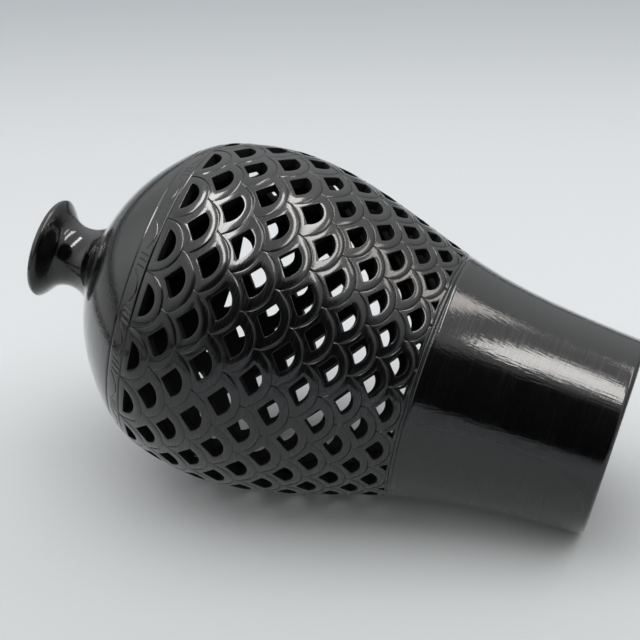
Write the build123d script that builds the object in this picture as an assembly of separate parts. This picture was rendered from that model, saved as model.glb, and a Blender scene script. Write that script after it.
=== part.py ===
"""A tall black clay vase with a pierced belly, open at the mouth and closed at the foot.

The pot stands on its foot, +Z up, with the origin at the centre of the resting
face.  A potter builds it in rings that are luted together with slip: a base slab,
the foot wall, the belly, the shoulder, the neck and the rolled lip of the mouth.
Each of them is one solid, and each joint is a flat ring where two of them meet.
The belly is pierced with rows of fish-scale openings.  All sizes are millimetres.
"""

import math
import os

from build123d import *

# Heights of the joints and of the mouth above the resting face
base_top = 7.0
foot_top = 94.0
belly_top = 225.0
shoulder_top = 267.5
neck_top = 291.0
pot_height = 300.0

# Stations of the outer line: the radius, and the height where it is reached
foot_radius = 48.7
foot_round = 2.6
foot_waist = (52.0, 42.0)
foot_flare = (59.2, 84.0)
belly_lower = (71.5, 123.0)
belly_upper = (82.6, 164.0)
belly_widest = (84.6, 186.0)
belly_turn = (82.3, 208.0)
shoulder_start = (77.3, 225.0)
shoulder_turn = (61.0, 246.0)
shoulder_dome = (42.0, 260.0)
neck_root = (24.5, 267.5)
neck_fillet = (18.6, 272.5)
neck_waist = (15.6, 282.0)
lip_under = (18.4, 290.0)
lip_edge = (25.4, 296.6)
lip_round = 3.2
foot_slope = (0.07, 1.0)
root_slope = (-1.0, 0.33)

# Walls, and the round passage through the neck
body_wall = 4.8
throat_radius = 11.4
throat_bottom = 266.5
throat_top = 286.0
inset_stations = 14
inset_end = 0.96

# V-shaped lines turned into the wall on the wheel, two of them along joints
line_width = 1.2
line_heights = (92.2, foot_top, belly_top, 233.2)

# Rows of openings.  A scale keeps its proportions, so its sizes are fractions of the
# pitch, which is the circumference at the scale's own height over the columns.
# Angles are degrees: the first rows creep round by twist_per_row, and the columns,
# spaced by eye, stand up to far_shift further round towards +Y.
columns = 18
rows = 12
first_row = 218.9
row_spacing = 0.3985
side_corner = 0.275
top_corner = 0.212
round_bottom = 0.162
first_half_width = 0.292
first_flat = 0.099
first_bottom = 0.126
settled_row = 3
twist_per_row = 0.9
far_shift = 1.9
cut_outward = 4.0
cut_inward = 9.0

# Three-cornered openings between the last scales and the foot line
notch_height = 95.3
notch_half_width = 2.5
notch_rise = 3.6


def outer_body():
    """The outer line from the foot's rounded edge up to the root of the neck."""
    stations = [
        foot_waist, foot_flare, belly_lower, belly_upper, belly_widest,
        belly_turn, shoulder_start, shoulder_turn, shoulder_dome, neck_root,
    ]
    start = (foot_radius, foot_round)
    return Spline(start, *stations, tangents=[foot_slope, root_slope])


def outer_neck():
    """The outer line of the neck, from its root through the waist to the lip."""
    stations = [neck_fillet, neck_waist, lip_under, lip_edge]
    return Spline(neck_root, *stations, tangents=[root_slope, (0.55, 0.84)])


def lip_lines():
    """The rolled edge of the mouth, and the funnel from it down to the throat."""
    crown = (lip_edge[0] - lip_round, pot_height)
    corner = (lip_edge[0] - 0.7, pot_height - 1.0)
    roll = ThreePointArc(lip_edge, corner, crown)
    throat = (throat_radius, throat_top)
    return roll, Spline(crown, throat, tangents=[(-1, 0), (0, -1)])


def inner_body(outer):
    """The inner line: the outer one moved in by the wall, then up to the throat."""
    points = []
    for step in range(inset_stations + 1):
        at = step / inset_stations * inset_end
        point = outer @ at
        along = outer % at
        points.append((point.X - along.Y * body_wall, point.Y + along.X * body_wall))
    clear = [point for point in points if point[1] > base_top + body_wall]
    start = (foot_radius - body_wall, base_top)
    throat = (throat_radius, throat_bottom)
    return Spline(start, *clear, throat, tangents=[foot_slope, (0, 1)])


def whole_wall():
    """The pot as one solid of revolution, before it is divided at its joints."""
    body = outer_body()
    neck = outer_neck()
    roll, funnel = lip_lines()
    inside = inner_body(body)
    middle = foot_round * (1 - math.sqrt(0.5))
    edge = ThreePointArc(
        (foot_radius - foot_round, 0), (foot_radius - middle, middle), body @ 0
    )
    outline = Wire([
        Line((0, 0), edge @ 0), edge, body, neck, roll, funnel,
        Line(funnel @ 1, inside @ 1), inside,
        Line(inside @ 0, (0, base_top)), Line((0, base_top), (0, 0)),
    ])
    return revolve(Plane.XZ * make_face(outline), Axis.Z)


def ring_between(wall, low, high):
    """The part of the wall between two heights."""
    standing = (Align.CENTER, Align.CENTER, Align.MIN)
    slab = Cylinder(2 * belly_widest[0], high - low, align=standing)
    return wall & Pos(0, 0, low) * slab


def at_height(outer, height):
    """The point of the outer line at a height, and the line's direction there."""
    low, high = 0.0, 1.0
    while high - low > 1e-6:
        middle = (low + high) / 2
        if (outer @ middle).Y < height:
            low = middle
        else:
            high = middle
    return outer @ low, outer % low


def turned_line(outer, height):
    """A ring-shaped tool for one line turned into the wall: a square on its corner."""
    point, _ = at_height(outer, height)
    side = line_width / math.sqrt(2)
    section = Pos(point.X, point.Y) * Rectangle(side, side, rotation=45)
    return revolve(Plane.XZ * section, Axis.Z)


def on_wall(outer, height, azimuth):
    """A plane on the wall: x round the pot, y up the wall, z out of it."""
    point, along = at_height(outer, height)
    turn = math.radians(azimuth)
    cos_turn, sin_turn = math.cos(turn), math.sin(turn)
    origin = (point.X * cos_turn, point.X * sin_turn, point.Y)
    outward = (along.Y * cos_turn, along.Y * sin_turn, -along.X)
    return Plane(origin, x_dir=(-sin_turn, cos_turn, 0), z_dir=outward)


def pierce(outline, place):
    """A cutting tool through the wall with the given outline."""
    face = make_face(outline)
    return extrude(place.offset(-cut_inward) * face, cut_inward + cut_outward)


def scale_outline(pitch):
    """A scale's opening: a corner towards the mouth and a round side below."""
    left, right = (-side_corner * pitch, 0), (side_corner * pitch, 0)
    top = (0, top_corner * pitch)
    below = ThreePointArc(left, (0, -round_bottom * pitch), right)
    return Wire([Line(left, top), Line(top, right), below])


def first_outline(pitch):
    """An opening of the first row: flat towards the mouth and round below."""
    left = (-first_half_width * pitch, first_flat * pitch)
    right = (first_half_width * pitch, first_flat * pitch)
    below = ThreePointArc(left, (0, -first_bottom * pitch), right)
    return Wire([Line(left, right), below])


def notch_outline():
    """A three-cornered opening with its point towards the mouth."""
    left, right = (-notch_half_width, 0), (notch_half_width, 0)
    return Polyline(left, right, (0, notch_rise), close=True)


def row_heights(outer):
    """The height and the pitch of each row, stepped down along the wall."""
    height = first_row
    levels = []
    for _ in range(rows):
        point, along = at_height(outer, height)
        pitch = 2 * math.pi * point.X / columns
        levels.append((height, pitch))
        height -= row_spacing * pitch * along.Y
    return levels


def spaced_by_eye(azimuth):
    """Where a column really stands, from where even spacing would put it."""
    return azimuth + far_shift * (1 + math.sin(math.radians(azimuth))) / 2


def openings(outer):
    """The cutting tools of every opening in the belly."""
    step = 360 / columns
    tools = []
    for row, (height, pitch) in enumerate(row_heights(outer)):
        outline = scale_outline(pitch) if row else first_outline(pitch)
        twist = twist_per_row * max(0, settled_row - row)
        for column in range(columns):
            azimuth = spaced_by_eye((column + row % 2 / 2) * step + twist)
            tools.append(pierce(outline, on_wall(outer, height, azimuth)))
    for column in range(columns):
        azimuth = spaced_by_eye((column + rows % 2 / 2) * step)
        tools.append(pierce(notch_outline(), on_wall(outer, notch_height, azimuth)))
    return tools


def main():
    outer = outer_body()
    wall = whole_wall()
    for height in line_heights:
        wall = wall - turned_line(outer, height)
    pieces = {
        "base_slab": ring_between(wall, 0, base_top),
        "foot_wall": ring_between(wall, base_top, foot_top),
        "pierced_belly": ring_between(wall, foot_top, belly_top) - openings(outer),
        "shoulder_dome": ring_between(wall, belly_top, shoulder_top),
        "neck": ring_between(wall, shoulder_top, neck_top),
        "mouth_lip": ring_between(wall, neck_top, pot_height + 1),
    }
    os.makedirs("parts", exist_ok=True)
    for name, piece in pieces.items():
        export_step(piece, f"parts/{name}.step")


if __name__ == "__main__":
    main()
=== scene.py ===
"""A black clay vase with a pierced belly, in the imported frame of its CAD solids.

The pot's axis is +Z.  Its six rings of clay are meshed here with the marks of the
hand: carved scales, engraved lines and burnishing.  For the main camera the pot lies
on its side on a pale table, which leans against the pot's belly and foot edge.
"""

import math

import bpy
import numpy as np
from mathutils import Matrix, Vector


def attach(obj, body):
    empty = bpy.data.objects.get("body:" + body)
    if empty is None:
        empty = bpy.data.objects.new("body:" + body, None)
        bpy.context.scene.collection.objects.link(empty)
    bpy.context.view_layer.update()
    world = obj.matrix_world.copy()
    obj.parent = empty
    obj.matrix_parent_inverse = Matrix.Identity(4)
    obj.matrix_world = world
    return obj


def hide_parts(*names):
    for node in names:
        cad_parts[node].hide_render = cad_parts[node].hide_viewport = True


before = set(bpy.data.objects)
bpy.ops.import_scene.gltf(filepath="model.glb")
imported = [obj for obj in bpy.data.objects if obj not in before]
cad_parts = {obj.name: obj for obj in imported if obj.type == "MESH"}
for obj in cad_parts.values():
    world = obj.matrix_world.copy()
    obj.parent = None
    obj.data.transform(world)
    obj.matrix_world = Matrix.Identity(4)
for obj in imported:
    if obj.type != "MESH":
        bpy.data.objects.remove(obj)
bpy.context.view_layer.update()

# ---------------------------------------------------------------- the wall's lines
# Lengths are millimetres here and in all the shapes of the pot, as in the CAD source.

mm = 0.001  # in metres, the unit of the frame
base_top, foot_top, belly_top = 7.0, 94.0, 225.0
shoulder_top, neck_top, pot_height = 267.5, 291.0, 300.0
foot_radius, foot_round = 48.7, 2.6
body_stations = [
    (foot_radius, foot_round), (52.0, 42.0), (59.2, 84.0), (71.5, 123.0), (82.6, 164.0),
    (84.6, 186.0), (82.3, 208.0), (77.3, 225.0), (61.0, 246.0), (42.0, 260.0), (24.5, 267.5),
]
neck_stations = [(24.5, 267.5), (18.6, 272.5), (15.6, 282.0), (18.4, 290.0), (25.4, 296.6)]
foot_slope = (0.07, 1.0)
root_slope = (-1.0, 0.33)
lip_slope = (0.55, 0.84)
lip_round = 3.2
body_wall = 4.8
throat_radius, throat_bottom, throat_top = 11.4, 266.5, 286.0
funnel_power = 0.815  # 1 would make the funnel from the throat to the lip a quarter ellipse

# Turned lines
line_half_width = 0.6
line_depth = 0.5
shoulder_line, foot_line = 233.2, 92.2

# ---------------------------------------------------------------- the carved scales
# As in the CAD source, a scale's sizes are fractions of the pitch of its row.

columns, rows = 18, 12
step = math.radians(360 / columns)
first_row = 218.9
row_spacing = 0.3985
settled_row = 3
twist_per_row = math.radians(0.9)  # how far each row above the settled one creeps round
far_shift = math.radians(1.9)  # how much further round the far columns stand

# A hole's corners and lowest point
side_corner, top_corner, round_bottom = 0.275, 0.212, 0.162
first_half_width, first_flat, first_bottom = 0.292, 0.099, 0.126
notch_height, notch_half_width, notch_rise = 95.3, 2.5, 3.6
# A scale's rim: where it ends and how low it hangs
rim_depth = 0.317
first_rim_top, first_rim_depth = 0.227, 0.30

half_rim = 8  # segments on each half of a rim
scale_height = 0.06  # how far a scale falls from its hole to its rim
groove_depth = line_depth - scale_height
roll_width, roll_power = 1.35, 1.6  # the groove's gentle side, on the scale above it
cut_width = 0.2  # and its steep side, on the scale below it
rim_insets = (0.2, 0.45, 0.8, 1.2)  # how far inside the tile's border its first rings are
edge_round = 0.3
edge_inset, edge_drop = 0.1, 0.06  # the ring that begins the rounding of a hole's edge
edge_cut, edge_inside = 0.6, 0.45  # how worn and how raw the end of the rounding is
back_gap = 0.05  # how far in front of the inner wall a hole's back edge is
cusp_share = 0.14  # the part of a half rim over which its groove fades in from its end

# How much the hand's work differs from scale to scale, as standard deviations
sag_spread = 0.02
lean_spread = 0.022
stretch_spread = 0.018
place_spread = 0.008
notch_place_spread = 0.12


def unit(v):
    v = np.array(v, float)
    return v / np.linalg.norm(v)


def smooth_line(points, start, end, samples):
    """A cubic line through the points with even curvature, and given end directions."""
    p = np.array(points, float)
    chord = np.linalg.norm(np.diff(p, axis=0), axis=1)
    knots = np.concatenate([[0], np.cumsum(chord)])
    n = len(p)
    left, right = np.eye(n), np.zeros((n, 2))
    right[0], right[-1] = unit(start), unit(end)
    for i in range(1, n - 1):
        before, after = chord[i - 1], chord[i]
        left[i, i - 1 : i + 2] = after, 2 * (before + after), before
        rise_after, rise_before = (p[i + 1] - p[i]) / after, (p[i] - p[i - 1]) / before
        right[i] = 3 * (before * rise_after + after * rise_before)
    slope = np.linalg.solve(left, right)
    at = np.linspace(0, knots[-1], samples)
    k = np.clip(np.searchsorted(knots, at, side="right") - 1, 0, n - 2)
    h = chord[k][:, None]
    q = (at - knots[k])[:, None] / h
    return (
        (1 + 2 * q) * (1 - q) ** 2 * p[k] + q * (1 - q) ** 2 * h * slope[k]
        + q * q * (3 - 2 * q) * p[k + 1] - q * q * (1 - q) * h * slope[k + 1]
    )


class Line:
    """A line of the wall in the (radius, height) plane, by the length along it."""

    def __init__(self, points):
        self.points = points
        runs = np.linalg.norm(np.diff(points, axis=0), axis=1)
        self.length = np.concatenate([[0], np.cumsum(runs)])
        along = np.gradient(points, axis=0)
        along /= np.linalg.norm(along, axis=1)[:, None]
        self.out = np.stack([along[:, 1], -along[:, 0]], axis=1)

    def at(self, s):
        """Radius, height, and the outward direction's two parts, at lengths s."""
        parts = (*self.points.T, *self.out.T)
        return [np.interp(s, self.length, part) for part in parts]

    def length_at(self, height):
        return np.interp(height, self.points[:, 1], self.length)

    def place(self, s, turn, rise):
        """Points in metres at length s and angle turn, rise millimetres off the wall."""
        r, z, out_r, out_z = self.at(s)
        r, z = (r + rise * out_r) * mm, (z + rise * out_z) * mm
        return np.stack([r * np.cos(turn), r * np.sin(turn), z + 0 * turn], axis=-1)


body = Line(smooth_line(body_stations, foot_slope, root_slope, 2400))
neck = Line(smooth_line(neck_stations, root_slope, lip_slope, 800))


def uneven(turn, height):
    """The hand-built wall's rise off its true line in millimetres, never above zero."""
    broad_dent, small_dent = 0.05, 0.012
    slow = np.sin(2 * turn + height / 55 + 1.0) + np.sin(3 * turn - height / 34 + 0.4)
    quick = np.sin(7 * turn + height / 13) * np.sin(5 * turn - height / 9 + 2)
    return -broad_dent * (2 + slow) / 2 - small_dent * (1 + quick)


def spread(turn):
    """The hand-spaced columns' true angle, from an even one."""
    return turn + far_shift * (1 + np.sin(turn)) / 2


# ---------------------------------------------------------------- mesh building

raw_from = 0.5  # the mean of "inside" over a face from which it has the raw material
sharp_from = math.radians(50)  # the angle between faces from which an edge is sharp


class Shell:
    """Points and faces of one piece.

    Each point also says how deeply it is cut or worn, and how far it is inside the pot.
    """

    def __init__(self):
        self.points, self.cut, self.inside, self.faces = [], [], [], []
        self.count = 0

    def add(self, points, cut=0.0, inside=0.0):
        """Adds points and returns their indices in the same arrangement."""
        flat = points.reshape(-1, 3)
        self.points.append(flat)
        self.cut.append(np.broadcast_to(cut, points.shape[:-1]).reshape(-1))
        self.inside.append(np.broadcast_to(inside, points.shape[:-1]).reshape(-1))
        first = self.count
        self.count += len(flat)
        return np.arange(first, self.count).reshape(points.shape[:-1])

    def strip(self, a, b):
        """Quads between two rings of as many indices; a is below b, seen from outside."""
        self.faces += np.stack([a, np.roll(a, -1), np.roll(b, -1), b], axis=1).tolist()

    def grid(self, rings):
        """Quads between each ring and the next one up the outside."""
        for a, b in zip(rings, rings[1:]):
            self.strip(a, b)

    def lining(self, rings):
        """Quads between each ring and the next one up the inside."""
        for a, b in zip(rings, rings[1:]):
            self.strip(b, a)

    def reduce(self, fine, coarse, coarse_above=True):
        """Faces between a ring and one with a third of its points."""
        n = len(coarse)
        for i in range(n):
            f = [fine[(3 * i + k) % (3 * n)] for k in range(4)]
            c, d = coarse[i], coarse[(i + 1) % n]
            found = [[f[0], f[1], c], [f[1], f[2], d, c], [f[2], f[3], d]]
            self.faces += found if coarse_above else [face[::-1] for face in found]

    def fan(self, ring, centre, flip=False):
        """Triangles between a ring and the point in its middle."""
        for a, b in zip(ring, np.roll(ring, -1)):
            self.faces.append([b, a, centre] if flip else [a, b, centre])

    def piece(self, name, materials, slot):
        """Makes the object, which stands for the CAD node of the same name.

        materials are the outside's and the raw inside's.
        """
        mesh = bpy.data.meshes.new(name)
        mesh.from_pydata(np.concatenate(self.points).tolist(), [], self.faces)
        for label, values in (("cut", self.cut), ("inside", self.inside)):
            layer = mesh.attributes.new(label, "FLOAT", "POINT")
            layer.data.foreach_set("value", np.concatenate(values).astype(np.float32))
        mesh.validate()
        mesh.polygons.foreach_set("use_smooth", [True] * len(mesh.polygons))
        mesh.set_sharp_from_angle(angle=sharp_from)
        for found in materials:
            mesh.materials.append(found)
        raw = np.concatenate(self.inside)
        faces = [int(raw[list(f.vertices)].mean() > raw_from) for f in mesh.polygons]
        mesh.polygons.foreach_set("material_index", faces)
        obj = bpy.data.objects.new(name + "_clay", mesh)
        bpy.context.scene.collection.objects.link(obj)
        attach(obj, "root")
        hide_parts(name)
        return obj


def inner_wall(height):
    """Radius of the body's inner line at a height, and the throat's above the shoulder."""
    inner = body.points - body.out * body_wall
    rising = np.concatenate([[True], np.diff(inner[:, 1]) > 0])
    inner = inner[rising]
    radius = np.interp(height, inner[:, 1], inner[:, 0])
    return np.maximum(radius, throat_radius)


def turned(height, at):
    """How deep a line turned at one height cuts at the given heights."""
    away = np.abs(np.asarray(height) - at) / line_half_width
    return -line_depth * np.clip(1 - away, 0, 1)


def turns(count):
    """The angles of as many points spaced evenly round the pot."""
    return np.arange(count) * 2 * math.pi / count


# ---------------------------------------------------------------- the plain rings

# The longest steps of each ring's mesh along the wall
foot_size, band_size, dome_size, neck_size, lip_size = 1.5, 0.27, 0.9, 0.5, 0.4


def lathe_rows(shell, line, lengths, count, lines=(), band=None):
    """Rings of points on the outside of the wall, each cut by its turned lines."""
    rings = []
    turn = turns(count)
    for s in lengths:
        _, z, _, _ = line.at(s)
        cut = sum(turned(z, at) for at in lines) + (band(s, turn) if band else 0.0)
        rise = uneven(turn, z) + cut
        depth = np.clip(-cut / line_depth, 0, 1) * np.ones(count)
        rings.append(shell.add(line.place(s + 0 * turn, turn, rise), depth))
    return rings


def ring_at(shell, radius, height, count, inside=1.0):
    """A ring of points that are neither cut nor uneven."""
    turn = turns(count)
    points = np.stack([radius * np.cos(turn), radius * np.sin(turn), height + 0 * turn], axis=-1)
    return shell.add(points * mm, inside=inside)


def spaced(low, high, size):
    """Even steps from low to high that are no longer than size."""
    return np.linspace(low, high, max(2, int(math.ceil((high - low) / size)) + 1))


def around_lines(low, high, size, lines):
    """Lengths along the body from low to high, closer together at the turned lines."""
    marks = [low, high]
    for at in lines:
        s = body.length_at(at)
        marks += [s + k * line_half_width / 3 for k in range(-3, 4)]
    marks = sorted(m for m in marks if low <= m <= high)
    found = [marks[0]]
    for a, b in zip(marks, marks[1:]):
        if b - a > 1e-6:
            found += list(spaced(a, b, size))[1:]
    return found


def base_slab(materials):
    """The disc that the pot stands on, with a round edge."""
    shell, count, edge_steps = Shell(), 192, 5
    centre = shell.add(np.zeros((1, 3)))[0]
    flat = foot_radius - foot_round
    rings = [ring_at(shell, flat * share, 0, count, inside=0.5) for share in (0.25, 0.6, 0.9, 1)]
    shell.fan(rings[0], centre, flip=True)
    for k in range(1, edge_steps):
        lean = math.radians(90 * k / edge_steps)
        r = foot_radius - foot_round * (1 - math.sin(lean))
        rings.append(ring_at(shell, r, foot_round * (1 - math.cos(lean)), count, inside=0))
    first = body.length_at(foot_round)
    rings += lathe_rows(shell, body, np.linspace(first, body.length_at(base_top), 5), count)
    shell.grid(rings)
    inner = ring_at(shell, foot_radius - body_wall, base_top, count)
    shell.strip(rings[-1], inner)
    top = shell.add(np.array([[0, 0, base_top * mm]]), inside=1)[0]
    shell.fan(inner, top)
    return shell.piece("base_slab", materials, "burnished_clay")


def foot_wall(materials):
    """The plain wall of the foot, up to the second of its turned lines."""
    shell, count = Shell(), 288
    low, high = body.length_at(base_top), body.length_at(foot_top)
    lines = (foot_line, foot_top)
    rings = lathe_rows(shell, body, around_lines(low, high, foot_size, lines), count, lines)
    shell.grid(rings)
    heights = np.linspace(base_top, foot_top, 16)
    inner = [ring_at(shell, inner_wall(z), z, count) for z in heights]
    shell.lining(inner)
    shell.strip(inner[0], rings[0])
    shell.strip(rings[-1], inner[-1])
    return shell.piece("foot_wall", materials, "burnished_clay")


# The engraved band: an arc over each hole of the first row, and strokes between arcs.
# Angles are degrees from the middle of an arc, heights are millimetres up the pot.
arc_middle = math.radians(5.1)
arc_half_width, arc_low, arc_high = 6.9, 226.6, 230.5
stroke_low, stroke_high = 226.3, 230.4
stroke_feet = (7.9, 10.3, 12.4)
stroke_lean = 0.9
band_end = 231.6
engraving_half_width, engraving_depth = 0.42, 0.38
engraving_power = 0.7  # below 1 a cut is steeper at its edges than at its bottom


def engraved_lines():
    """Polylines of one repeat of the band, as (angle in degrees, height)."""
    bend = np.linspace(-1, 1, 25)
    arc = np.stack([arc_half_width * bend, arc_low + (arc_high - arc_low) * bend**2], axis=1)
    strokes = [
        np.array([(foot, stroke_low), (foot + stroke_lean, stroke_high)]) for foot in stroke_feet
    ]
    return [arc, *strokes]


def distance_to(points, line):
    """Distance of each point from a polyline."""
    best = np.full(points.shape[:-1], 1e9)
    for a, b in zip(line, line[1:]):
        along = b - a
        t = np.clip(((points - a) @ along) / (along @ along), 0, 1)
        best = np.minimum(best, np.linalg.norm(points - a - t[..., None] * along, axis=-1))
    return best


def engraving(s, turn):
    """How deep the engraved band cuts at length s of the body, all round."""
    r, z, _, out_z = body.at(s)
    steep = math.sqrt(1 - out_z**2)
    width = r * math.radians(1)
    away = (2 * turn - spread(turn) - arc_middle + step / 4) % step - step / 4
    here = np.stack([np.degrees(away) * width, z / steep + 0 * turn], axis=-1)
    depth = np.zeros(len(turn))
    for line in engraved_lines():
        shape = line * np.array([width, 1 / steep])
        d = distance_to(here, shape) / engraving_half_width
        depth = np.maximum(depth, engraving_depth * np.clip(1 - d, 0, 1) ** engraving_power)
    return -depth


def shoulder_dome(materials):
    """The dome, with a finer mesh for the engraved band along its lower edge."""
    shell, coarse = Shell(), 432
    low, change, high = [body.length_at(z) for z in (belly_top, band_end, shoulder_top)]
    lines = (belly_top, shoulder_line)
    fine = spaced(low, change, band_size)
    band = lathe_rows(shell, body, fine, 3 * coarse, lines, engraving)
    shell.grid(band)
    past = around_lines(change + 0.4, high, dome_size, lines)
    dome = lathe_rows(shell, body, past, coarse, lines)
    shell.reduce(band[-1], dome[0])
    shell.grid(dome)
    wall = [(inner_wall(z), z) for z in np.linspace(belly_top, 262, 16)]
    turn_in = (throat_radius + 2, 264.6)
    throat = [(throat_radius, throat_bottom), (throat_radius, shoulder_top)]
    inner = [ring_at(shell, r, z, coarse) for r, z in [*wall, turn_in, *throat]]
    shell.lining(inner)
    shell.strip(dome[-1], inner[-1])
    shell.reduce(band[0], inner[0], coarse_above=False)
    return shell.piece("shoulder_dome", materials, "burnished_clay")


def neck_ring(materials):
    """The neck's outside, and the passage through it."""
    shell, count = Shell(), 216
    lengths = spaced(0, neck.length_at(neck_top), neck_size)
    outer = lathe_rows(shell, neck, lengths, count)
    shell.grid(outer)
    funnel = funnel_line()
    heights = [shoulder_top, 275, 280, throat_top, 288, 290, neck_top]
    inner = [ring_at(shell, np.interp(z, *funnel), z, count, inside=0.6) for z in heights]
    shell.lining(inner)
    shell.strip(outer[-1], inner[-1])
    shell.strip(inner[0], outer[0])
    return shell.piece("neck", materials, "burnished_clay")


def funnel_line():
    """Heights and radii of the passage from the throat up to the crown of the lip."""
    crown = neck_stations[-1][0] - lip_round
    lean = np.linspace(0, math.pi / 2, 200)
    radii = crown - (crown - throat_radius) * np.cos(lean) ** funnel_power
    heights = throat_top + (pot_height - throat_top) * np.sin(lean) ** funnel_power
    return np.concatenate([[0], heights]), np.concatenate([[throat_radius], radii])


def mouth_lip(materials):
    """The underside of the lip, its rolled edge, and the funnel inside it."""
    shell, count, roll_steps = Shell(), 216, 9
    lengths = spaced(neck.length_at(neck_top), neck.length[-1], lip_size)
    rings = lathe_rows(shell, neck, lengths, count)
    edge_r, edge_z = neck_stations[-1]
    tall = pot_height - edge_z
    for k in range(1, roll_steps):
        lean = math.radians(90 * k / roll_steps)
        r = edge_r - lip_round * (1 - math.cos(lean))
        rings.append(ring_at(shell, r, edge_z + tall * math.sin(lean), count, inside=0))
    heights, radii = funnel_line()
    for z in (299.9, 299.6, 299.0, 298.2, 297.2, 296.0, 294.5, 292.8, neck_top):
        rings.append(ring_at(shell, np.interp(z, heights, radii), z, count, inside=0.2))
    shell.grid(rings)
    shell.strip(rings[-1], rings[0])
    return shell.piece("mouth_lip", materials, "burnished_clay")


# ---------------------------------------------------------------- the pierced belly


class Scales:
    """Rows of scales round the belly, each one a tile of mesh round its hole.

    A tile's border is its own rim below and two half rims of the row above, so
    neighbouring tiles share points.  Places are (turn, length) on the wall.  A row of
    rims is its places, the indices of its points and the depths of its groove.
    """

    def __init__(self):
        self.shell = Shell()
        self.random = np.random.default_rng(7)
        self.levels = self.row_levels()
        self.inner = {}

    def row_levels(self):
        """Length along the body, pitch, and turn of the first column, of each row."""
        s = float(body.length_at(first_row))
        found = []
        for row in range(rows):
            r, _, _, _ = body.at(s)
            pitch = r * step
            twist = twist_per_row * max(0, settled_row - row)
            found.append((s, pitch, row % 2 / 2 * step + twist))
            s -= row_spacing * pitch
        return found

    def spot(self, row, column, x, y):
        """A place on the wall from one in a scale's own axes, in pitches."""
        s, pitch, first = self.levels[row]
        return np.stack([spread(first + (column + x) * step), s + y * pitch], axis=-1)

    def border_points(self, places, depth, cut):
        """Adds points of tile borders, outside and inside, and keeps the inner ones."""
        turn, s = places[..., 0], places[..., 1]
        _, z, _, _ = body.at(s)
        rise = uneven(turn, z) - depth
        outer = self.shell.add(body.place(s, turn, rise), cut)
        inner = self.shell.add(body.place(s, turn, -body_wall + 0 * s), 0, 1)
        for a, b in zip(outer.ravel(), inner.ravel()):
            self.inner[int(a)] = int(b)
        return outer

    def rims(self):
        """Every row's rims: their places, points and depths, shared by the tiles beside."""
        whole = 2 * half_rim
        made = []
        for row in range(rows):
            places = np.zeros((columns, whole, 2))
            for column in range(columns):
                sag = 1 + self.random.normal(0, sag_spread)
                places[column] = self.spot(row, column, *self.rim(row, sag))[:-1]
            share = np.linspace(-1, 1, whole + 1)[:-1]
            fade = np.clip((1 - np.abs(share)) / cusp_share, 0, 1)
            fade = fade * fade * (3 - 2 * fade)
            if row == 0:
                fade[0] = 1
            depth = np.broadcast_to(scale_height + groove_depth * fade, (columns, whole))
            cut = np.broadcast_to(fade, (columns, whole))
            made.append((places, self.border_points(places, depth, cut), depth))
        return made

    def rim(self, row, sag):
        """A scale's rim from its left end to its right end, in pitches."""
        share = np.linspace(-1, 1, 2 * half_rim + 1)
        if row == 0:
            lean = share * math.pi / 2
            drop = first_rim_top + first_rim_depth
            return 0.5 * np.sin(lean), first_rim_top - drop * np.cos(lean) * sag
        radius = (0.25 + rim_depth**2) / (2 * rim_depth)
        lean = share * math.asin(0.5 / radius)
        y = radius * (math.cos(lean[-1]) - np.cos(lean))
        return radius * np.sin(lean), y * sag

    def hole(self, row):
        """The outline of a row's holes in pitches, in step with the tile's border."""
        whole, sides = 2 * half_rim, half_rim + 1
        if row == 0:
            corner, flat = (first_half_width, first_flat), 2 * sides
            low = self.bow(corner, -first_bottom, whole)
            top = np.linspace((corner[0], corner[1]), (-corner[0], corner[1]), flat + 1)[1:-1]
            return np.concatenate([low, top])
        low = self.bow((side_corner, 0), -round_bottom, whole)
        right = np.linspace((side_corner, 0), (0, top_corner), sides + 1)[1:]
        left = np.linspace((0, top_corner), (-side_corner, 0), sides + 1)[1:-1]
        return np.concatenate([low, right, left])

    def bow(self, corner, lowest, segments):
        """An arc from the left corner through the lowest point to the right corner."""
        x, y = corner
        sag = y - lowest
        radius = (x * x + sag * sag) / (2 * sag)
        lean = np.linspace(-1, 1, segments + 1) * math.asin(min(1.0, x / radius))
        return np.stack([radius * np.sin(lean), lowest + radius * (1 - np.cos(lean))], axis=1)

    def tile(self, places, border, depth, outline, centre):
        """The outside, the hole's sides and the inside of one tile.

        The first half of the border is the tile's own rim.  The rest lies on rims of
        the row above, where the scale comes out from under its neighbours.
        """
        r, _, _, _ = body.at(centre[1])
        metric = np.array([r, 1.0])
        start, end = places * metric, outline * metric
        run = np.linalg.norm(end - start, axis=1)
        groove = np.maximum(depth - scale_height, 0)
        own = np.arange(len(run)) < len(run) // 2
        insets = [np.full(len(run), inset) for inset in rim_insets]
        insets += [0.5 * (rim_insets[-1] + run - edge_round), run - edge_round, run - edge_inset]
        drops = [0.0] * (len(insets) - 1) + [edge_drop]
        rings = [border]
        for away, drop in zip(insets, drops):
            t = away / run
            fall = scale_height * np.clip(1 - t, 0, 1)
            roll = np.clip(1 - away / roll_width, 0, 1) ** roll_power
            carved = groove * np.where(own, roll, np.exp(-((away / cut_width) ** 2)))
            place = (start + (end - start) * t[:, None]) / metric
            _, z, _, _ = body.at(place[:, 1])
            rise = uneven(place[:, 0], z) - fall - carved - drop
            points = body.place(place[:, 1], place[:, 0], rise)
            rings.append(self.shell.add(points, np.clip(carved / groove_depth, 0, 1)))
        out = self.outward(centre)
        lip = body.place(outline[:, 1], outline[:, 0], 0 * run)
        rings.append(self.shell.add(lip - edge_round * mm * out, edge_cut, edge_inside))
        self.shell.grid(rings)
        back = self.shell.add(lip - (body_wall - back_gap) * mm * out, 1, 1)
        self.shell.strip(rings[-1], back)
        behind = np.array([self.inner[int(i)] for i in border])
        self.shell.strip(back, behind)

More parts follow.
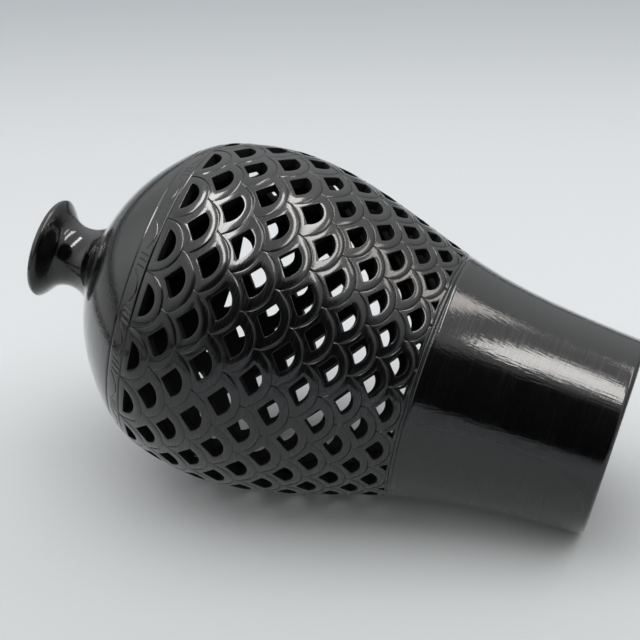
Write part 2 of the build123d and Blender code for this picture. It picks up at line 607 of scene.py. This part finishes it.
    def outward(self, centre):
        """The direction straight out of the wall at a place."""
        _, _, out_r, out_z = body.at(centre[1])
        return np.array([out_r * math.cos(centre[0]), out_r * math.sin(centre[0]), out_z])

    def shaken(self, outline, reach):
        """The outline as a hand cuts it: a little turned, moved and stretched."""
        lean = self.random.normal(0, lean_spread)
        turn = np.array([[math.cos(lean), -math.sin(lean)], [math.sin(lean), math.cos(lean)]])
        stretch = 1 + self.random.normal(0, stretch_spread, 2)
        return (outline * stretch) @ turn.T + self.random.normal(0, reach, 2)

    def build(self, materials):
        """Tiles of all rows, with the row of notches below the last one as one more."""
        made = self.rims()
        top = []
        for row in range(rows + 1):
            lower = self.bottom_line() if row == rows else made[row]
            for column in range(columns):
                edge = self.lower_edge(lower, column)
                if row == 0:
                    upper = self.top_line(edge[0])
                    top.append(upper[1])
                else:
                    upper = self.upper_edge(made[row - 1], row, column, edge[0])
                places, border, depth = (np.concatenate(pair) for pair in zip(edge, upper))
                centre, outline = self.placed_hole(row, column, places)
                self.tile(places, border, depth, outline, centre)
        self.close_bottom(lower[1])
        self.close_top(made[0][1][:, 0], top)
        return self.shell.piece("pierced_belly", materials, "carved_clay")

    def lower_edge(self, rims, column):
        """One rim of a row, with the first point of the next rim round."""
        after = (column + 1) % columns
        edge = [np.concatenate([part[column], part[after][:1]]) for part in rims]
        if after == 0:
            edge[0][-1, 0] += 2 * math.pi
        return edge

    def placed_hole(self, row, column, places):
        """The middle of a tile's hole and its outline, as places on the wall."""
        if row == rows:
            centre = np.array([places[0][0] + step / 2, float(body.length_at(notch_height))])
            r, _, _, _ = body.at(centre[1])
            half, tall, sides = notch_half_width, notch_rise, half_rim + 1
            low = np.linspace((-half, 0), (half, 0), 2 * half_rim + 1)
            right = np.linspace((half, 0), (0, tall), sides + 1)[1:]
            left = np.linspace((0, tall), (-half, 0), sides + 1)[1:-1]
            outline = self.shaken(np.concatenate([low, right, left]), notch_place_spread)
            return centre, centre + outline / np.array([r, 1.0])
        centre = self.spot(row, column, 0, 0)
        outline = self.shaken(self.hole(row), place_spread)
        return centre, self.spot(row, column, outline[:, 0], outline[:, 1])

    def upper_edge(self, above, row, column, places):
        """Half rims of the row above, from the right end round to the left end."""
        before, after = (column, column + 1) if row % 2 else (column - 1, column)
        middle = 0.5 * (places[0][0] + places[-1][0])
        whole = 2 * half_rim
        found = [(after, i) for i in range(half_rim, -1, -1)]
        found += [(before, i) for i in range(whole - 1, half_rim - 1, -1)]
        rim, index = np.array(found).T
        spots, points, depths = (part[rim % columns, index] for part in above)
        spots[:, 0] += 2 * math.pi * np.round((middle - spots[:, 0]) / (2 * math.pi))
        return spots, points, depths

    def top_line(self, places):
        """Points of the turned line over one scale of the first row, right to left."""
        count = 2 * (half_rim + 1) - 1
        turn = np.linspace(places[-1][0], places[0][0], count + 2)[1:-1]
        at = np.stack([turn, np.full(count, places[0][1])], axis=1)
        depth = np.full(count, line_depth)
        return at, self.border_points(at, depth, np.ones(count)), depth

    def bottom_line(self):
        """Points of the foot's line below the last row, between the rims' low points."""
        whole = 2 * half_rim
        first = self.levels[rows - 1][2] - step
        share = np.arange(whole) / whole
        turn = spread(first + (np.arange(columns)[:, None] + share) * step)
        at = np.stack([turn, np.full(turn.shape, body.length_at(foot_top))], axis=-1)
        depth = np.full(turn.shape, line_depth)
        return at, self.border_points(at, depth, np.ones(turn.shape)), depth

    def close_bottom(self, line):
        """The flat joint under the last row."""
        bottom = np.concatenate(line)
        inside = np.array([self.inner[int(i)] for i in bottom])
        flat = self.joint(bottom, foot_top)
        self.shell.strip(inside, flat)
        self.shell.strip(flat, bottom)

    def close_top(self, cusps, lines):
        """The flat joint over the first row, whose cusps reach its turned line."""
        top = np.concatenate([[cusp, *line[::-1]] for cusp, line in zip(cusps, lines)])
        inside = np.array([self.inner[int(i)] for i in top])
        flat = self.joint(top, belly_top)
        self.shell.strip(top, flat)
        self.shell.strip(flat, inside)

    def joint(self, edge, height):
        """The inner edge of a flat joint, beside its outer edge."""
        outer = np.concatenate(self.shell.points)[edge]
        turn = np.arctan2(outer[:, 1], outer[:, 0])
        radius = inner_wall(height)
        ring = [radius * np.cos(turn), radius * np.sin(turn), height + 0 * turn]
        return self.shell.add(np.stack(ring, axis=-1) * mm, 0, 1)


# ---------------------------------------------------------------- materials


class Nodes:
    """Short ways to add and link a material's nodes."""

    def __init__(self, name):
        self.material = bpy.data.materials.new(name)
        self.material.use_nodes = True
        self.tree = self.material.node_tree
        self.shader = self.tree.nodes["Principled BSDF"]

    def add(self, kind, inputs=(), **settings):
        node = self.tree.nodes.new("ShaderNode" + kind)
        for key, value in settings.items():
            setattr(node, key, value)
        for socket, value in dict(inputs).items():
            self.put(node.inputs[socket], value)
        return node

    def put(self, socket, value):
        if isinstance(value, bpy.types.NodeSocket):
            self.tree.links.new(value, socket)
        else:
            socket.default_value = value

    def stretched(self, scale):
        """The place in the frame times a scale for each axis, to draw noise out in strokes."""
        place = self.add("TexCoord").outputs["Object"]
        inputs = {0: place, 1: scale}
        return self.add("VectorMath", inputs, operation="MULTIPLY").outputs[0]

    def noise(self, vector, detail=4.0, roughness=0.55):
        inputs = {"Vector": vector, "Scale": 1.0, "Detail": detail, "Roughness": roughness}
        return self.add("TexNoise", inputs).outputs["Fac"]

    def remap(self, value, low, high, to_low, to_high):
        names = ("Value", "From Min", "From Max", "To Min", "To Max")
        inputs = dict(zip(names, (value, low, high, to_low, to_high)))
        return self.add("MapRange", inputs).outputs["Result"]

    def mixed(self, factor, a, b):
        node = self.add("Mix", data_type="RGBA")
        for socket, value in ((node.inputs[0], factor), (node.inputs[6], a), (node.inputs[7], b)):
            self.put(socket, value)
        return node.outputs[2]

    def mean(self, a, b, share):
        """The mean of two values, where share is how much of the second it has."""
        return self.math("ADD", self.math("MULTIPLY", a, 1 - share), self.math("MULTIPLY", b, share))

    def math(self, operation, a, b):
        return self.add("Math", {0: a, 1: b}, operation=operation).outputs[0]

    def attribute(self, name):
        return self.add("Attribute", attribute_name=name).outputs["Fac"]


def clay(name, gloss, skin, sheen, low_rough, high_rough, wave, scratch):
    """Reduction-fired black clay, burnished round the pot in fine overlapping strokes.

    gloss and skin are the weight and roughness of the skin that the stone leaves.  sheen
    is the specular level of the clay under it, whose roughness goes from low_rough to
    high_rough.  wave and scratch are the heights in millimetres of the strokes' ridges
    round the pot, and of the fine lines along it.
    """
    n = Nodes(name)
    deep, soft = (0.0006, 0.0006, 0.0007, 1), (0.0022, 0.0021, 0.0020, 1)
    unburnished = (0.0060, 0.0058, 0.0056, 1)
    broad = n.noise(n.stretched((14, 14, 60)), detail=3)
    bands = n.noise(n.stretched((18, 18, 700)), detail=5, roughness=0.65)
    fine = n.noise(n.stretched((45, 45, 4500)), detail=2, roughness=0.6)
    hatch = n.noise(n.stretched((1100, 1100, 40)), detail=1, roughness=0.6)
    grain = n.noise(n.stretched((1500, 1500, 1500)), detail=2)
    cut = n.attribute("cut")

    tone = n.remap(n.mean(broad, bands, 0.4), 0.35, 0.65, 0.0, 1.0)
    bare = n.math("MULTIPLY", cut, 0.5)
    color = n.mixed(bare, n.mixed(tone, deep, soft), unburnished)
    n.put(n.shader.inputs["Base Color"], color)

    strokes = n.mean(n.mean(broad, bands, 0.5), fine, 0.7)
    rough = n.remap(strokes, 0.5, 0.64, low_rough, high_rough)
    n.put(n.shader.inputs["Roughness"], n.math("ADD", rough, n.math("MULTIPLY", bare, 0.3)))
    n.put(n.shader.inputs["IOR"], 1.6)
    n.put(n.shader.inputs["Specular IOR Level"], sheen)
    n.put(n.shader.inputs["Coat Weight"], gloss)
    n.put(n.shader.inputs["Coat Roughness"], skin)

    ridges = n.math("MULTIPLY", n.mean(bands, fine, 0.3), wave)
    lines = n.math("MULTIPLY", hatch, scratch)
    pits = n.math("MULTIPLY", n.math("MULTIPLY", grain, bare), 0.03)
    height = n.math("ADD", n.math("ADD", ridges, lines), pits)
    bump = n.add("Bump", {"Strength": 1.0, "Distance": mm, "Height": height})
    n.put(n.shader.inputs["Normal"], bump.outputs[0])
    n.put(n.shader.inputs["Coat Normal"], bump.outputs[0])
    return n.material


def raw_clay():
    """The unburnished inside of the wall and the cut sides of the holes."""
    n = Nodes("raw_clay")
    dark, dusty = (0.0020, 0.0020, 0.0020, 1), (0.0060, 0.0058, 0.0055, 1)
    grain = n.noise(n.stretched((900, 900, 900)), detail=4)
    sooty = n.noise(n.stretched((30, 30, 90)), detail=3)
    tone = n.remap(n.mean(grain, sooty, 0.5), 0.35, 0.65, 0.0, 1.0)
    n.put(n.shader.inputs["Base Color"], n.mixed(tone, dark, dusty))
    n.put(n.shader.inputs["Roughness"], n.remap(grain, 0.3, 0.7, 0.55, 0.8))
    n.put(n.shader.inputs["Specular IOR Level"], 0.12)
    bump = n.add("Bump", {"Strength": 0.4, "Distance": 0.0002, "Height": grain})
    n.put(n.shader.inputs["Normal"], bump.outputs[0])
    return n.material


# ---------------------------------------------------------------- table, lights, camera

# The side the pot lies on, as the angle of the line where its belly touches the table
lying_turn = math.radians(147.9)
# The main camera, whose place and axes are turned round the pot's axis by camera_turn
camera_turn = math.radians(-0.8)
camera_place = (0.00859, -0.84171, 0.00525)
camera_forward = (0, 0.98463, 0.17464)
camera_right = (0.31844, 0.16554, -0.93337)
camera_sensor, camera_lens = 36.0, 97.349625
# What the camera sees behind everything
backdrop, backdrop_color = 0.62, (0.97, 0.985, 1.0)
# The floor falls a little away from the main camera, which is then behind it and sees
# through it
floor_fall = 0.0085

# Painted shade on the table: its colour at places across it, in metres beyond the pot from the
# camera, is darker towards the near and far sides where less light falls, and a little blue at the
# near side
table_shade_colors = (
    (-0.40, (0.42, 0.45, 0.47)),
    (-0.15, (0.41, 0.42, 0.42)),
    (0.16, (0.53, 0.54, 0.545)),
    (0.40, (0.53, 0.545, 0.55)),
    (0.95, (0.39, 0.41, 0.425)),
)

# What only the glaze sees: dark strips that paint the shade at the table's left edge and near edge
# into the pot's reflection, and the darker floor past it.
# Each has its place to the right and away in metres, its width and depth, and its tone.
unseen = (
    ("left_edge_shade", -0.45, 0.0, 0.09, 3.0, 0.02),
    ("near_edge_shade", 0.0, -0.49, 6.0, 0.05, 0.02),
    ("beyond", -1.99, 0.0, 3.0, 3.0, 0.36),
)

# Soft boxes a metre above the table, which shine only in the glaze: their place to the
# right and away, their turn in degrees, their width and depth, brightness and colour
soft_boxes = (
    ("right_box", 0.335, 0.0, 9.5, 0.14, 0.98, 10.5, (1.0, 0.975, 0.945)),
    ("left_box", -0.255, -0.05, 0, 0.14, 0.90, 13, (1.0, 0.99, 0.98)),
    ("warm_box", 0.70, 0.08, 9, 0.18, 0.54, 5.5, (1.0, 0.93, 0.87)),
)


def table_frame():
    """The direction up off the table, and the table's point nearest to the origin.

    The pot leans until its foot and its belly reach equally far down.
    """
    foot_below, belly_above = 30, 100
    tilts = np.radians(np.linspace(5, 20, 601))
    r, z = body.points.T
    reach = r[None] * np.cos(tilts)[:, None] - z[None] * np.sin(tilts)[:, None]
    foot = reach[:, z < foot_below].max(axis=1)
    belly = reach[:, z > belly_above].max(axis=1)
    k = int(np.argmin(np.abs(foot - belly)))
    tilt, distance = tilts[k], max(foot[k], belly[k]) * mm
    side = Vector((math.cos(lying_turn), math.sin(lying_turn), 0))
    up = math.sin(tilt) * Vector((0, 0, 1)) - math.cos(tilt) * side
    return up, -up * distance


def camera():
    """A long lens in front of the pot, rolled so that the pot lies on the table."""
    data = bpy.data.cameras.new("camera")
    data.sensor_width = camera_sensor
    data.lens = camera_lens
    data.clip_start, data.clip_end = 0.01, 50
    obj = bpy.data.objects.new("camera", data)
    bpy.context.scene.collection.objects.link(obj)
    forward = Vector(camera_forward).normalized()
    right = Vector(camera_right)
    right = (right - forward * right.dot(forward)).normalized()
    up = right.cross(forward)
    turn = Matrix.Rotation(camera_turn, 3, "Z")
    place = turn @ Vector(camera_place)
    pose = Matrix((right, up, -forward)).transposed()
    obj.matrix_world = Matrix.Translation(place) @ (turn @ pose).to_4x4()
    bpy.context.scene.camera = obj
    return obj


def one_sided(n):
    """Makes a stage surface clear from behind, to the eye and to light."""
    behind = n.add("NewGeometry").outputs["Backfacing"]
    clear = n.add("BsdfTransparent").outputs[0]
    mix = n.add("MixShader", {0: behind, 1: n.shader.outputs[0], 2: clear})
    n.put(n.tree.nodes["Material Output"].inputs["Surface"], mix.outputs[0])
    n.put(n.shader.inputs["Roughness"], 0.6)
    n.put(n.shader.inputs["Specular IOR Level"], 0.2)
    return n.material


def shaded_table_material(away, start):
    """Pale paper with painted shade: darker towards the near and the far side, where less light
    falls.

    away is the direction across the table, and start how far along it the pot lies.
    """
    n = Nodes("table")
    place = n.add("TexCoord").outputs["Object"]
    across = n.add("VectorMath", {0: place, 1: away}, operation="DOT_PRODUCT").outputs["Value"]
    # Painted shade: the ramp darkens the paper towards the near and the far side.
    first, last = table_shade_colors[0][0], table_shade_colors[-1][0]
    share = n.remap(across, start + first, start + last, 0.0, 1.0)
    ramp = n.add("ValToRGB", {"Fac": share})
    ramp.color_ramp.interpolation = "EASE"
    stops = ramp.color_ramp.elements
    while len(stops) < len(table_shade_colors):
        stops.new(0.5)
    for stop, (at, color) in zip(stops, table_shade_colors):
        stop.position = (at - first) / (last - first)
        stop.color = (*color, 1)
    n.put(n.shader.inputs["Base Color"], ramp.outputs["Color"])
    return one_sided(n)


def plain_material(name, tone):
    """One grey tone, seen from the front only."""
    n = Nodes(name)
    n.put(n.shader.inputs["Base Color"], (tone, tone, tone, 1))
    return one_sided(n)


def floor_with_painted_shadow():
    """An even pale glowing floor for the camera alone, with a painted shadow that darkens it close
    to the pot.
    """
    n = Nodes("floor")
    # Painted shadow: ambient occlusion dims the floor's glow where the pot is close.
    bare = n.add("AmbientOcclusion", {"Distance": 0.2}).outputs["AO"]
    strength = n.remap(bare, 0.3, 1.0, 0.2, backdrop)
    glow = n.add("Emission", {"Color": (*backdrop_color, 1), "Strength": strength})
    seen = n.add("LightPath").outputs["Is Camera Ray"]
    ahead = n.math("SUBTRACT", 1.0, n.add("NewGeometry").outputs["Backfacing"])
    clear = n.add("BsdfTransparent").outputs[0]
    shown = n.math("MULTIPLY", seen, ahead)
    mix = n.add("MixShader", {0: shown, 1: clear, 2: glow.outputs[0]})
    n.put(n.tree.nodes["Material Output"].inputs["Surface"], mix.outputs[0])
    return n.material


def sheet(name, centre, right, up, width, depth, material):
    """A flat stage surface whose front faces right cross up."""
    across, along = right * width / 2, up * depth / 2
    corners = [centre + across * a + along * b for a, b in ((-1, -1), (1, -1), (1, 1), (-1, 1))]
    mesh = bpy.data.meshes.new(name)
    mesh.from_pydata([tuple(corner) for corner in corners], [], [(0, 1, 2, 3)])
    mesh.materials.append(material)
    obj = bpy.data.objects.new(name, mesh)
    bpy.context.scene.collection.objects.link(obj)
    return obj


def lamp(name, place, axes, width, depth, radiance, color=(1, 1, 1)):
    """A soft box with the given brightness, facing back along the last of its axes."""
    data = bpy.data.lights.new(name, "AREA")
    data.shape = "RECTANGLE"
    data.size, data.size_y = width, depth
    data.energy = radiance * math.pi * width * depth
    data.color = color
    obj = bpy.data.objects.new(name, data)
    bpy.context.scene.collection.objects.link(obj)
    obj.matrix_world = Matrix.Translation(place) @ Matrix(axes).transposed().to_4x4()
    obj.visible_camera = False
    return obj


def room(right, away, up):
    """Soft light from all round, but for the dark part of the room by the camera."""
    world = bpy.data.worlds.new("room")
    bpy.context.scene.world = world
    world.use_nodes = True
    tree = world.node_tree
    place = tree.nodes.new("ShaderNodeTexCoord").outputs["Generated"]

    def facing(direction, low, high, to_low, to_high):
        """A value that changes with how far the place turns towards a direction."""
        dot = tree.nodes.new("ShaderNodeVectorMath")
        dot.operation = "DOT_PRODUCT"
        tree.links.new(place, dot.inputs[0])
        dot.inputs[1].default_value = direction
        ramp = tree.nodes.new("ShaderNodeMapRange")
        ramp.interpolation_type = "SMOOTHSTEP"
        names = ("From Min", "From Max", "To Min", "To Max")
        for key, value in zip(names, (low, high, to_low, to_high)):
            ramp.inputs[key].default_value = value
        tree.links.new(dot.outputs["Value"], ramp.inputs["Value"])
        return ramp.outputs[0]

    def times(a, b):
        node = tree.nodes.new("ShaderNodeMath")
        node.operation = "MULTIPLY"
        tree.links.new(a, node.inputs[0])
        tree.links.new(b, node.inputs[1])
        return node.outputs[0]

    height = facing(up, 0.0, 0.9, 0.37, 1.1)
    side = facing(-right, 0.6, 0.95, 1.0, 2.0)
    skyline = facing(up, 0.0, 0.05, 0.15, 1.0)
    dark = facing((up * 0.47 - away * 0.88).normalized(), 0.79, 0.9, 1.0, 0.03)
    plain = tree.nodes.new("ShaderNodeMix")
    seen = tree.nodes.new("ShaderNodeLightPath").outputs["Is Camera Ray"]
    tree.links.new(seen, plain.inputs[0])
    tree.links.new(times(times(height, side), times(skyline, dark)), plain.inputs[2])
    plain.inputs[3].default_value = backdrop
    ground = tree.nodes["Background"]
    tree.links.new(plain.outputs[0], ground.inputs["Strength"])
    ground.inputs["Color"].default_value = (*backdrop_color, 1)
    world.cycles.sampling_method = "NONE"


def studio(cam):
    """The table under the lying pot, the floor under the standing one, and the lamps."""
    up, contact = table_frame()
    look = cam.matrix_world.to_3x3() @ Vector((0, 0, -1))
    away = (look - up * look.dot(up)).normalized()
    right = away.cross(up)
    middle = Vector((0, 0, 0.15))
    centre = middle - up * (middle - contact).dot(up)
    pale = shaded_table_material(away, centre.dot(away))
    # The bench is a little lower, and begins where the table ends towards the camera
    sheets = [
        sheet("table", centre + away * 1.0, right, away, 6, 3.0, pale),
        sheet("bench", centre - away * 1.5 - up * 0.006, right, away, 6, 2.1, pale),
    ]
    below, east, north = Vector((0, 0, -0.0005)), Vector((1, 0, 0)), Vector((0, 1, -floor_fall))
    sheet("floor", below, east, north, 8, 8, floor_with_painted_shadow())
    # Painted shade in the pot's reflection: these sheets are hidden from the camera and from diffuse
    # light.
    for name, x, y, width, depth, tone in unseen:
        place = centre + right * x + away * y + up * 0.001
        surface = sheet(name, place, right, away, width, depth, plain_material(name, tone))
        surface.visible_camera = False
        surface.visible_diffuse = False
        sheets.append(surface)
    for surface in sheets:
        surface.visible_shadow = False
    for name, x, y, turned_by, *rest in soft_boxes:
        spin = Matrix.Rotation(math.radians(turned_by), 3, up)
        place = centre + right * x + away * y + up
        box = lamp(name, place, (spin @ right, spin @ away, up), *rest)
        box.visible_diffuse = False
    ceiling = lamp("ceiling", centre - away * 0.2 + up * 1.1, (right, away, up), 2.4, 1.1, 1.7)
    lean = (up * 0.9 - away * 1.3).normalized()
    front = lamp("front", centre + lean * 1.6, (right, lean.cross(right), lean), 2.0, 1.0, 1.3)
    for wide in (ceiling, front):
        wide.visible_glossy = False
    room(right, away, up)
    bpy.context.scene.view_settings.view_transform = "Standard"


# ---------------------------------------------------------------- the whole scene


def main():
    raw = raw_clay()
    smooth = clay(
        "burnished_clay", gloss=0.95, skin=0.04, sheen=0.12,
        low_rough=0.12, high_rough=0.35, wave=0.02, scratch=0.055,
    )
    carved = clay(
        "carved_clay", gloss=0.78, skin=0.07, sheen=0.2,
        low_rough=0.2, high_rough=0.42, wave=0.012, scratch=0.015,
    )
    for plain_ring in (base_slab, foot_wall):
        plain_ring((smooth, raw))
    Scales().build((carved, raw))
    for plain_ring in (shoulder_dome, neck_ring, mouth_lip):
        plain_ring((smooth, raw))
    studio(camera())


main()
